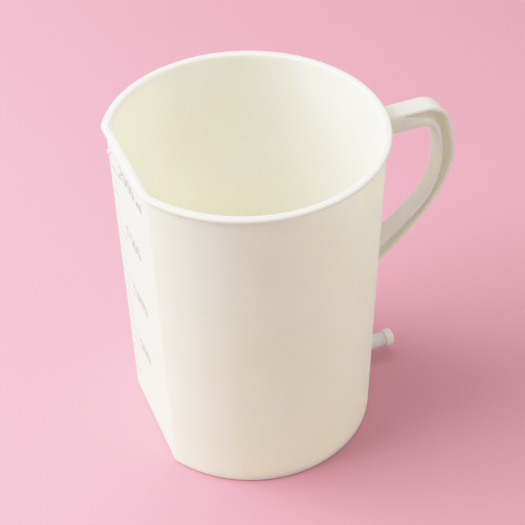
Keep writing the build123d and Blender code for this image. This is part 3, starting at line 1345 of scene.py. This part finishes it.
# ---- graduations -----------------------------------------------------------------------
@dataclass(frozen=True)
class Glyph:
    """Room that a raised character's middle line has, inside its box.

    Attributes:
        width: Width of the room.
        height: Height of the room.
    """

    width: float
    height: float

    def zero(self) -> list[list[Point2]]:
        """A tall ring.

        Returns:
            The middle line, as the only stroke.
        """
        radius = self.width / 2
        top = arc((radius, self.height - radius), radius, 0, 180, 12)
        bottom = arc((radius, radius), radius, 180, 360, 12)
        return [[*top, *bottom, top[0]]]

    def one(self) -> list[list[Point2]]:
        """A stem with its flag."""
        return [[(0.0, self.height - self.width), (self.width, self.height), (self.width, 0.0)]]

    def two(self) -> list[list[Point2]]:
        """A round head, a slanted neck and a level foot.

        Returns:
            The middle line, as the only stroke.
        """
        radius = self.width / 2
        head = arc((radius, self.height - radius), radius, 170, -35, 12)
        return [[*head, (0.0, 0.0), (self.width, 0.0)]]

    def five(self) -> list[list[Point2]]:
        """A level top, a short side and a round belly.

        Returns:
            The middle line, as the only stroke.
        """
        radius = 0.31 * self.height
        belly = arc((self.width - radius, radius), radius, 120, -145, 12)
        top = [(self.width * 0.95, self.height), (0.0, self.height)]
        return [[*top, (0.0, 1.72 * radius), *belly]]

    def letter_m(self) -> list[list[Point2]]:
        """Two arches on three stems.

        Returns:
            The middle lines, one for each stroke.
        """
        radius = self.width / 4
        shoulder = self.height - radius
        first = arc((radius, shoulder), radius, 180, 0, 8)
        second = arc((3 * radius, shoulder), radius, 180, 0, 8)
        return [[(0.0, 0.0), *first, (2 * radius, 0.0)], [*second, (self.width, 0.0)]]

    def letter_l(self) -> list[list[Point2]]:
        """A plain stem."""
        return [[(self.width / 2, 0.0), (self.width / 2, self.height)]]


Drawing = Callable[[Glyph], list[list[Point2]]]


@dataclass
class RaisedScale:
    """Level marks, numbers and unit that stand out of the flat panel as soft ridges.

    Attributes:
        stroke: Width of a number's ridge.
        sink: How far a ridge goes into the panel.
        run: Length of one step along a ridge.
        stand: Share of the marks' full relief that the soft ridges stand out by.
        numbers: The numbers, from the lowest up.
        around: Points round a ridge.
        crown_power: Power that shapes a ridge's width: the less, the squarer.
        flank_power: Power that shapes its height.
        least_end: Share of a ridge's size that its rounded ends keep, before the root.
        nib_levels: Height and size of the nib's sections, as shares of its relief and outline.
        nib_around: Points round the nib.
    """

    stroke: float = 1.0 * MM
    sink: float = 0.2 * MM
    run: float = 0.22 * MM
    stand: float = 0.72
    numbers: tuple[str, ...] = ("500", "1000", "1500", "2000")
    around: int = 16
    crown_power: float = 0.75
    flank_power: float = 0.6
    least_end: float = 0.03
    nib_levels: tuple[Point2, ...] = (
        (-0.15, 1.1), (0.06, 1.02), (0.3, 0.94), (0.7, 0.88), (0.9, 0.76), (0.98, 0.55), (1.0, 0.3),
    )
    nib_around: int = 24

    def panel_place(self, cup: CupBody) -> Matrix:
        """Place of the panel: x to the right, y up its face, z outwards.

        Args:
            cup: The cup.

        Returns:
            The matrix from the panel's plane to the jug's frame.
        """
        lean = math.radians(cup.panel_draft)
        foot = cup.panel_distance - cup.wall_top * math.tan(lean)
        place = Matrix.Identity(4)
        place.col[0].xyz = (0.0, -1.0, 0.0)
        place.col[1].xyz = (-math.sin(lean), 0.0, math.cos(lean))
        place.col[2].xyz = (-math.cos(lean), 0.0, -math.sin(lean))
        place.translation = (-foot, 0.0, 0.0)
        return place

    def _in_panel(self, box: Box, place: Matrix) -> tuple[float, ...]:
        """Room of a CAD solid in the panel's plane.

        Args:
            box: Lowest and highest corner of the solid.
            place: The panel's place.

        Returns:
            Left, bottom, right and top edges, and how far the solid stands out.
        """
        low, high = box
        steep = place.col[1].z
        relief = (Vector((low.x, 0.0, high.z)) - place.translation).dot(place.col[2].xyz)
        bottom = low.z / steep - relief * place.col[1].x
        return -high.y, bottom, -low.y, high.z / steep, relief * self.stand

    def ridge(
        self, tree: GeometryRecipe, lines: Term, width: Term, relief: Term, material: Term
    ) -> None:
        """Finish a tree that turns lines into soft ridges with rounded ends.

        Args:
            tree: The tree.
            lines: The ridges' middle lines, as curves.
            width: Width of a ridge.
            relief: How far it stands out.
            material: Its finish.
        """
        sink = tree.size("Sink", self.sink)
        run = tree.size("Run", self.run)
        curves = {"Curve": lines, "Length": run}
        stepped = tree.add("GeometryNodeResampleCurve", {"mode": "LENGTH"}, curves)
        along = tree.term(tree.add("GeometryNodeSplineParameter", {}, {}), "Length")
        whole = tree.term(tree.add("GeometryNodeSplineLength", {}, {}), "Length")
        ring = tree.term(tree.add("GeometryNodeInputSplineCyclic", {}, {}))
        to_end = tree.maths("MINIMUM", along, whole - along) / (width * 0.5)
        round_off = (1.0 - (1.0 - to_end.clamped()) ** 2.0).at_least(self.least_end) ** 0.5
        curves = {"Curve": stepped.outputs[0], "Radius": tree.maths("MAXIMUM", ring, round_off)}
        tapered = tree.add("GeometryNodeSetCurveRadius", {}, curves)

        ring_size = {"Resolution": self.around, "Radius": 1.0}
        circle = tree.add("GeometryNodeCurvePrimitiveCircle", {}, ring_size)
        position = tree.add("GeometryNodeInputPosition", {}, {})
        place = tree.add("ShaderNodeSeparateXYZ", {}, {"Vector": position.outputs[0]})
        across, up = tree.term(place, "X"), tree.term(place, "Y")
        above = 1.0 - up.below(0.0)
        crown = tree.maths("SIGN", across) * abs(across) ** self.crown_power * (width * 0.5)
        flank = abs(up) ** self.flank_power
        rise = flank * (above * relief) - (1.0 - above) * flank * sink
        moved = {"Geometry": circle.outputs[0], "Position": tree.vector(crown, -rise, 0.0)}
        section = tree.add("GeometryNodeSetPosition", {}, moved)
        curves = {
            "Curve": tapered.outputs[0],
            "Profile Curve": section.outputs[0],
            "Fill Caps": True,
        }
        tree.finish(tree.term(tree.add("GeometryNodeCurveToMesh", {}, curves)), material)

    def ladder(
        self, name: str, node: str, material: bpy.types.Material, cup: CupBody
    ) -> bpy.types.Object:
        """Level marks of one kind, each an instance of one line on its own point.

        Args:
            name: Name of the piece.
            node: The CAD node that holds the marks.
            material: Their finish.
            cup: The cup.

        Returns:
            The piece.
        """
        place = self.panel_place(cup)
        rooms = [self._in_panel(box, place) for box in islands(node)]
        left, bottom, right, top, relief = rooms[0]
        starts = [(room[0], (room[1] + room[3]) / 2, 0.0) for room in rooms]
        tree = GeometryRecipe(name)
        length = tree.size("Length", right - left)
        width = tree.size("Width", top - bottom)
        height = tree.size("Relief", relief)
        finish = tree.size("Finish", material)
        end = tree.vector(length, 0.0, 0.0)
        line = tree.add("GeometryNodeCurvePrimitiveLine", {}, {"End": end})
        inputs = {"Points": tree.geometry, "Instance": line.outputs[0]}
        marks = tree.add("GeometryNodeInstanceOnPoints", {}, inputs)
        real = tree.add("GeometryNodeRealizeInstances", {}, {"Geometry": marks.outputs[0]})
        self.ridge(tree, tree.term(real), width, height, finish)
        piece = tree.run(name, mesh_of(name + "_points", starts, (), ()))
        piece.data.transform(place)
        turned_outwards(piece.data)
        return join_jug(piece, node)

    def characters(
        self,
        name: str,
        node: str,
        rows: Iterable[Sequence[Drawing]],
        material: bpy.types.Material,
        cup: CupBody,
    ) -> bpy.types.Object:
        """Raised characters, each drawn in the room of its CAD solid.

        Args:
            name: Name of the piece.
            node: The CAD node that holds the characters.
            rows: How each character is drawn, row by row from the lowest, left to right.
            material: Their finish.
            cup: The cup.

        Returns:
            The piece.
        """
        place = self.panel_place(cup)
        points: list[tuple[float, float, float]] = []
        edges: list[tuple[int, int]] = []
        relief = 0.0
        boxes = islands(node)
        drawn: list[tuple[Box, Drawing]] = []
        for row in rows:
            drawn += zip(sorted(boxes[: len(row)], key=lambda box: -box[1].y), row)
            boxes = boxes[len(row) :]
        for box, shape in drawn:
            left, bottom, right, top, relief = self._in_panel(box, place)
            half = self.stroke / 2
            room = Glyph(max(right - left - self.stroke, 0.0), top - bottom - self.stroke)
            for line in shape(room):
                closed = line[0] == line[-1]
                first = len(points)
                corners = line[:-1] if closed else line
                points += [(left + half + x, bottom + half + y, 0.0) for x, y in corners]
                edges += [(first + step, first + step + 1) for step in range(len(corners) - 1)]
                if closed:
                    edges.append((first + len(corners) - 1, first))
        tree = GeometryRecipe(name)
        width = tree.size("Width", self.stroke)
        height = tree.size("Relief", relief)
        finish = tree.size("Finish", material)
        lines = tree.add("GeometryNodeMeshToCurve", {}, {"Mesh": tree.geometry})
        self.ridge(tree, tree.term(lines), width, height, finish)
        piece = tree.run(name, mesh_of(name + "_lines", points, edges, ()))
        piece.data.transform(place)
        turned_outwards(piece.data)
        return join_jug(piece, node)

    def brim_nib(self, material: bpy.types.Material, cup: CupBody) -> bpy.types.Object:
        """Small rounded nib at the flat's edge, below the rim.

        Args:
            material: Its finish.
            cup: The cup.

        Returns:
            The piece.
        """
        place = self.panel_place(cup)
        left, bottom, right, top, relief = self._in_panel(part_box("brim_mark"), place)
        x_middle, y_middle = (left + right) / 2, (bottom + top) / 2
        rings = []
        for level, share in self.nib_levels:
            ring = []
            for x, y in arc((0.0, 0.0), 1.0, 0, 360, self.nib_around)[:-1]:
                wide = math.copysign(abs(x) ** 0.5, x) * share * (right - left) / 2
                tall = math.copysign(abs(y) ** 0.5, y) * share * (top - bottom) / 2
                ring.append(place @ Vector((x_middle + wide, y_middle + tall, level * relief)))
            rings.append(ring)
        piece = placed_piece("brim_nib", lofted("brim_nib", rings), material)
        return join_jug(piece, "brim_mark")

    def build(self, material: bpy.types.Material, cup: CupBody) -> None:
        """Make every mark on the panel.

        Args:
            material: Their finish.
            cup: The cup.
        """
        digits = {"0": Glyph.zero, "1": Glyph.one, "2": Glyph.two, "5": Glyph.five}
        self.ladder("level_marks_long", "scale_long_marks", material, cup)
        self.ladder("level_marks_short", "scale_short_marks", material, cup)
        rows = [[digits[digit] for digit in number] for number in self.numbers]
        self.characters("level_numbers", "scale_numerals", rows, material, cup)
        unit = [(Glyph.letter_m, Glyph.letter_l)]
        self.characters("level_unit", "scale_unit", unit, material, cup)
        self.brim_nib(material, cup)


# ---- studio ----------------------------------------------------------------------------
@dataclass(frozen=True)
class SoftLight:
    """A square lamp.

    Attributes:
        name: Name of the lamp.
        place: Where it hangs.
        aim: What it points at.
        size: Side of the square.
        power: Its power in watts.
        colour: Its colour.
        spread: Angle that its light opens to, in degrees.
    """

    name: str
    place: tuple[float, float, float]
    aim: tuple[float, float, float]
    size: float
    power: float
    colour: tuple[float, float, float] = (1.0, 1.0, 1.0)
    spread: float = 180.0

    def build(self) -> bpy.types.Object:
        """Hang the lamp.

        Returns:
            The lamp.
        """
        lamp = bpy.data.lights.new(self.name, "AREA")
        lamp.shape = "SQUARE"
        lamp.size = self.size
        lamp.energy = self.power
        lamp.color = self.colour
        lamp.spread = math.radians(self.spread)
        made = bpy.data.objects.new(self.name, lamp)
        bpy.context.scene.collection.objects.link(made)
        made.location = self.place
        made.rotation_mode = "QUATERNION"
        made.rotation_quaternion = (Vector(self.aim) - Vector(self.place)).to_track_quat("-Z", "Y")
        return made


@dataclass
class Studio:
    """Pink paper, soft light from the left and the camera.

    Attributes:
        paper: Side of the sheet of paper.
        paper_steps: Faces along its side.
        paper_gap: How far it lies under the jug's foot.
        lens: Focal length, in millimetres.
        sensor: Width of the sensor, in millimetres.
        clip: Nearest and furthest distance that the camera sees.
        distance: From the camera to the point that it turns about.
        tilt: Angle of the view below the horizon, in degrees.
        turn: Angle of the view to the right of +Y, in degrees.
        roll: Turn of the camera about its own view, in degrees.
        target: The point that it turns about: along its right-hand side, and height.
        ambient: Colour of the light from all round.
        ambient_strength: Strength of that light.
        shoulder: Tones of the scene and the tones that they are shown as.
        shoulder_end: The tone from which everything is shown as white.
        shoulder_white: The tone that white is shown as.
        lights: The lamps.
    """

    paper: float = 9.0
    paper_steps: int = 12
    paper_gap: float = 0.05 * MM
    lens: float = 91.518
    sensor: float = 36.0
    clip: tuple[float, float] = (0.01, 50.0)
    distance: float = 693.863 * MM
    tilt: float = 41.035
    turn: float = 21.843
    roll: float = -0.859
    target: Point2 = (7.023 * MM, 96.875 * MM)
    ambient: Colour = (1.0, 0.95, 0.97, 1.0)
    ambient_strength: float = 0.44
    shoulder: tuple[Point2, ...] = (
        (0.25, 0.25), (0.5, 0.5), (0.75, 0.725), (1.0, 0.86), (1.25, 0.92), (1.6, 0.95),
    )
    shoulder_end: float = 2.4
    shoulder_white: float = 0.97
    lights: tuple[SoftLight, ...] = (
        SoftLight(
            "key_window", (-0.92, 0.34, 0.80), (-0.04, 0.09, 0.09), 1.15, 21.0, (1.0, 1.0, 0.99)
        ),
        SoftLight("top_fill", (-0.1, 0.35, 1.5), (0.0, 0.2, 0.0), 0.8, 4.0, (1.0, 0.985, 0.98)),
        SoftLight("right_fill", (0.85, -0.5, 0.40), (0.0, 0.0, 0.03), 0.5, 2.4, (1.0, 0.985, 0.97)),
        SoftLight(
            "mouth_fill", (0.0, 0.0, 0.42), (0.004, 0.0, 0.0), 0.012, 0.042, (1.0, 0.98, 0.88), 28.0
        ),
    )

    def build(self) -> None:
        """Set out the paper, the light and the camera."""
        self._paper()
        self._ambient()
        for light in self.lights:
            light.build()
        self._camera()
        view = bpy.context.scene.view_settings
        view.view_transform = "Standard"
        view.look = "None"
        self._shoulder(view)
        LOG.info("studio: %d lamps", len(self.lights))

    def _shoulder(self, view: bpy.types.ColorManagedViewSettings) -> None:
        """Roll off the brightest tones, as print film does.

        Args:
            view: The scene's view settings.
        """
        view.use_curve_mapping = True
        mapping = view.curve_mapping
        mapping.white_level = (self.shoulder_end,) * 3
        curve = mapping.curves[3]
        for tone, shown in self.shoulder:
            curve.points.new(tone / self.shoulder_end, shown)
        curve.points[-1].location = (1.0, self.shoulder_white)
        mapping.update()

    def _paper(self) -> None:
        """Lay the sheet of paper just under the jug's foot."""
        steps = self.paper_steps
        side = [self.paper * (step / steps - 0.5) for step in range(steps + 1)]
        points = [(x, y, -self.paper_gap) for y in side for x in side]
        row = steps + 1
        faces = [
            (start, start + 1, start + row + 1, start + row)
            for start in (line * row + column for line in range(steps) for column in range(steps))
        ]
        mesh = mesh_of("paper_sheet", points, (), faces)
        sheet = placed_piece("paper_sheet", mesh, PaperBackdrop().material())

    def _ambient(self) -> None:
        """Light the scene evenly from all round."""
        world = bpy.data.worlds.new("soft_room")
        bpy.context.scene.world = world
        world.use_nodes = True
        world.node_tree.nodes.clear()
        sheet = NodeSheet(world.node_tree)
        inputs = {"Color": self.ambient, "Strength": self.ambient_strength}
        glow = sheet.add("ShaderNodeBackground", {}, inputs)
        sheet.add("ShaderNodeOutputWorld", {}, {"Surface": glow.outputs[0]})

    def _camera(self) -> None:
        """Aim the camera down at the jug from the panel's side."""
        turn, tilt, roll = (math.radians(angle) for angle in (self.turn, self.tilt, self.roll))
        level_share = math.cos(tilt)
        across, forwards = math.sin(turn) * level_share, math.cos(turn) * level_share
        ahead = Vector((across, forwards, -math.sin(tilt)))
        level = Vector((math.cos(turn), -math.sin(turn), 0.0))
        upright = level.cross(ahead)
        right = level * math.cos(roll) + upright * math.sin(roll)
        up = upright * math.cos(roll) - level * math.sin(roll)
        aim = Vector((0.0, 0.0, self.target[1])) + level * self.target[0]
        place = Matrix.Identity(4)
        place.col[0].xyz = right
        place.col[1].xyz = up
        place.col[2].xyz = -ahead
        place.translation = aim - ahead * self.distance
        lens = bpy.data.cameras.new("jug_camera")
        lens.sensor_width = self.sensor
        lens.lens = self.lens
        lens.clip_start, lens.clip_end = self.clip
        camera = bpy.data.objects.new("jug_camera", lens)
        bpy.context.scene.collection.objects.link(camera)
        camera.matrix_world = place
        bpy.context.scene.camera = camera


def main() -> None:
    """Build the jug's pieces in order, then the studio."""
    style = "%(relativeCreated)6d ms  %(name)s: %(message)s"
    logging.basicConfig(level=logging.INFO, format=style)
    wall_finish = MouldedPlastic("jug_plastic_wall").material()
    grip_finish = MouldedPlastic(
        "jug_plastic_grip", roughness=0.38, wave=0.05 * MM, seam=0.22 * MM
    ).material()
    outlet_finish = MouldedPlastic(
        "jug_plastic_outlet", roughness=0.36, wave=0.03 * MM
    ).material()
    mark_finish = MouldedPlastic(
        "jug_plastic_marks", grain=Grain.POLISHED, roughness=0.34, wave=0.0
    ).material()
    cup = CupBody()
    outlet = HoseOutlet()
    cup.build(wall_finish, outlet.bore + outlet.clearance, outlet.axis_height)
    StrapHandle().build(grip_finish, cup)
    outlet.build(outlet_finish, cup)
    RaisedScale().build(mark_finish, cup)
    Studio().build()


if __name__ == "__main__":
    main()
